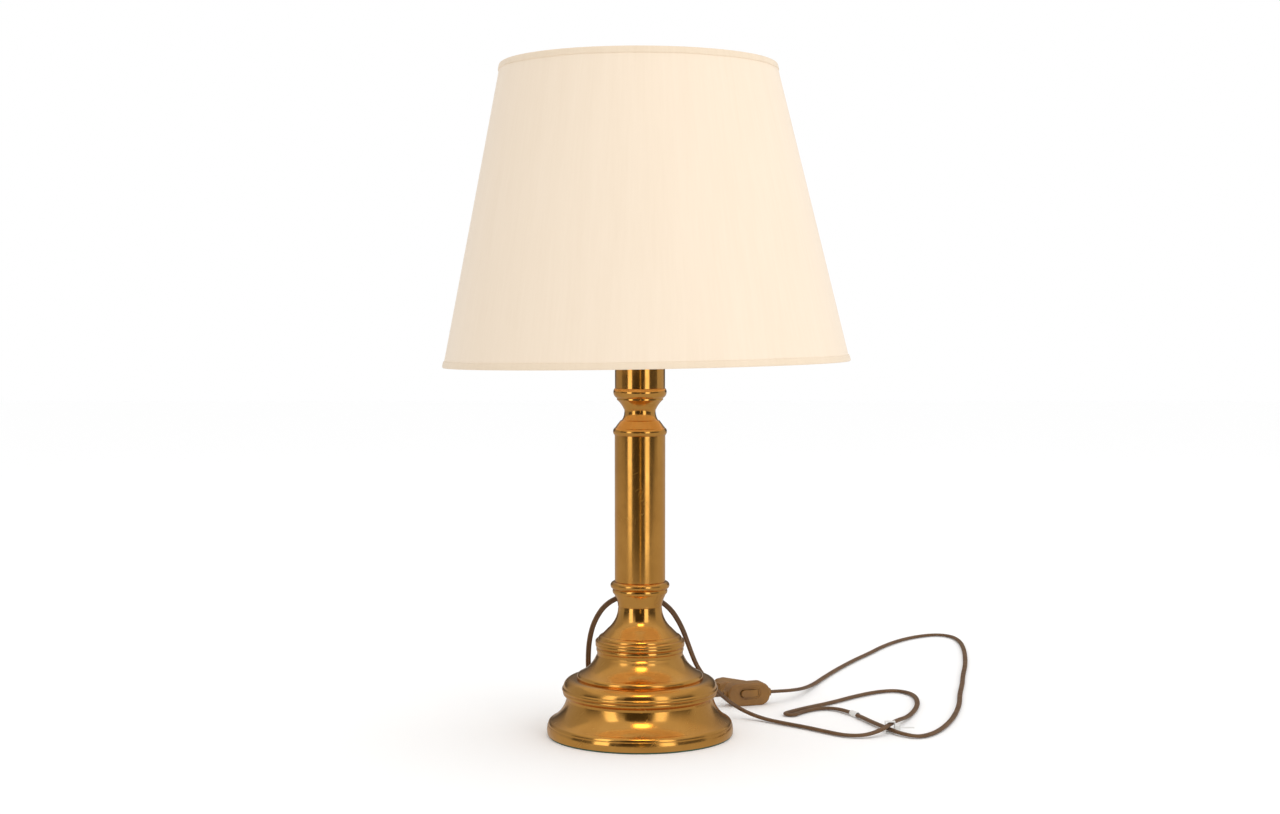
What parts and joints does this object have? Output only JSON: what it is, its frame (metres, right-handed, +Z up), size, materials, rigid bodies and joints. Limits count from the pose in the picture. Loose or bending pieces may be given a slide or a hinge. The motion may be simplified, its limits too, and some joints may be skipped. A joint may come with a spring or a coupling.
{
  "type": "candlestick table lamp",
  "caption": "Turned brass candlestick lamp with a conical cloth shade, flat flex, in-line rocker switch and two-pin plug.",
  "frame": {"origin": "the foot's underside, on the axis of the column", "axes": "+Z up the column, -Y towards the viewer of the picture, +X to the viewer's right, where the flex lies"},
  "size_m": [0.5999, 0.7766, 0.657],
  "materials": {
    "brass": "polished, lightly worn",
    "zinc_steel": "zinc plated",
    "cast_iron": "raw casting",
    "felt": "pressed felt",
    "holder_plastic": "moulded, dark brown to black",
    "porcelain": "glazed",
    "brown_plastic": "moulded, satin gloss",
    "brown_flex": "flat twin flex, soft sheen",
    "white_plastic": "satin",
    "pin_metal": "drawn brass",
    "shade_wire": "white coated wire",
    "shade_fabric": "silky woven cloth on a stiff backing",
    "shade_trim": "folded strip of the shade's cloth",
    "bulb_metal": "drawn",
    "bulb_glass": "clear",
    "filament": "tungsten wire"
  },
  "bodies": {
    "lamp_base": {"base_pad": "felt", "foot": "brass", "bell": "brass", "neck": "brass", "column": "brass", "capital": "brass", "cup": "brass", "threaded_rod": "zinc_steel", "lower_nut": "zinc_steel", "lower_washer": "zinc_steel", "ballast": "cast_iron", "cup_nut": "zinc_steel", "holder_nut": "zinc_steel", "holder_cap": "holder_plastic", "holder_shell": "holder_plastic", "holder_core": "porcelain", "holder_sleeve": "brass", "holder_contact": "brass", "shade_seat_ring": "holder_plastic", "cord_bushing": "brown_plastic", "lamp_flex": "brown_flex", "plug_flex": "brown_flex", "marker_sleeve": "white_plastic", "cable_tie": "white_plastic", "plug_body": "brown_plastic", "plug_pins": "pin_metal", "switch_front": "brown_plastic", "switch_back": "brown_plastic", "switch_screws": "zinc_steel"},
    "shade": {"shade_fitter": "shade_wire", "shade_arm_1": "shade_wire", "shade_arm_2": "shade_wire", "shade_arm_3": "shade_wire", "shade_bottom_wire": "shade_wire", "shade_top_wire": "shade_wire", "shade_skin": "shade_fabric", "shade_bottom_trim": "shade_trim", "shade_top_trim": "shade_trim"},
    "clamp_ring": {"shade_clamp_ring": "holder_plastic"},
    "bulb_foot": {"bulb_contact": "bulb_metal"},
    "bulb": {"bulb_cap": "bulb_metal", "bulb_glass": "bulb_glass", "bulb_stem": "bulb_glass", "bulb_filament": "filament"},
    "rocker": {"switch_rocker": "brown_plastic"}
  },
  "joints": [
    {"name": "shade_swivel", "type": "hinge", "parent": "lamp_base", "child": "shade", "pos_m": [0, 0, 0.419], "axis": [0, 0, 1], "continuous": true},
    {"name": "clamp_ring_turn", "type": "hinge", "parent": "lamp_base", "child": "clamp_ring", "pos_m": [0, 0, 0.425], "axis": [0, 0, 1], "range_deg": [0, 1080]},
    {"name": "bulb_lift", "type": "slide", "parent": "lamp_base", "child": "bulb_foot", "axis": [0, 0, 1], "range_m": [0, 0.0214]},
    {"name": "bulb_turn", "type": "hinge", "parent": "bulb_foot", "child": "bulb", "pos_m": [0, 0, 0.43], "axis": [0, 0, 1], "range_deg": [0, 2124]},
    {"name": "rocker_press", "type": "hinge", "parent": "lamp_base", "child": "rocker", "pos_m": [0.11535, 0.13629, 0.0135], "axis": [0, 0, 1], "range_deg": [-16, 0]}
  ],
  "couplings": [
    {"joint": "bulb_turn", "follows": "bulb_lift", "rad_per_m": 1730.9}
  ]
}
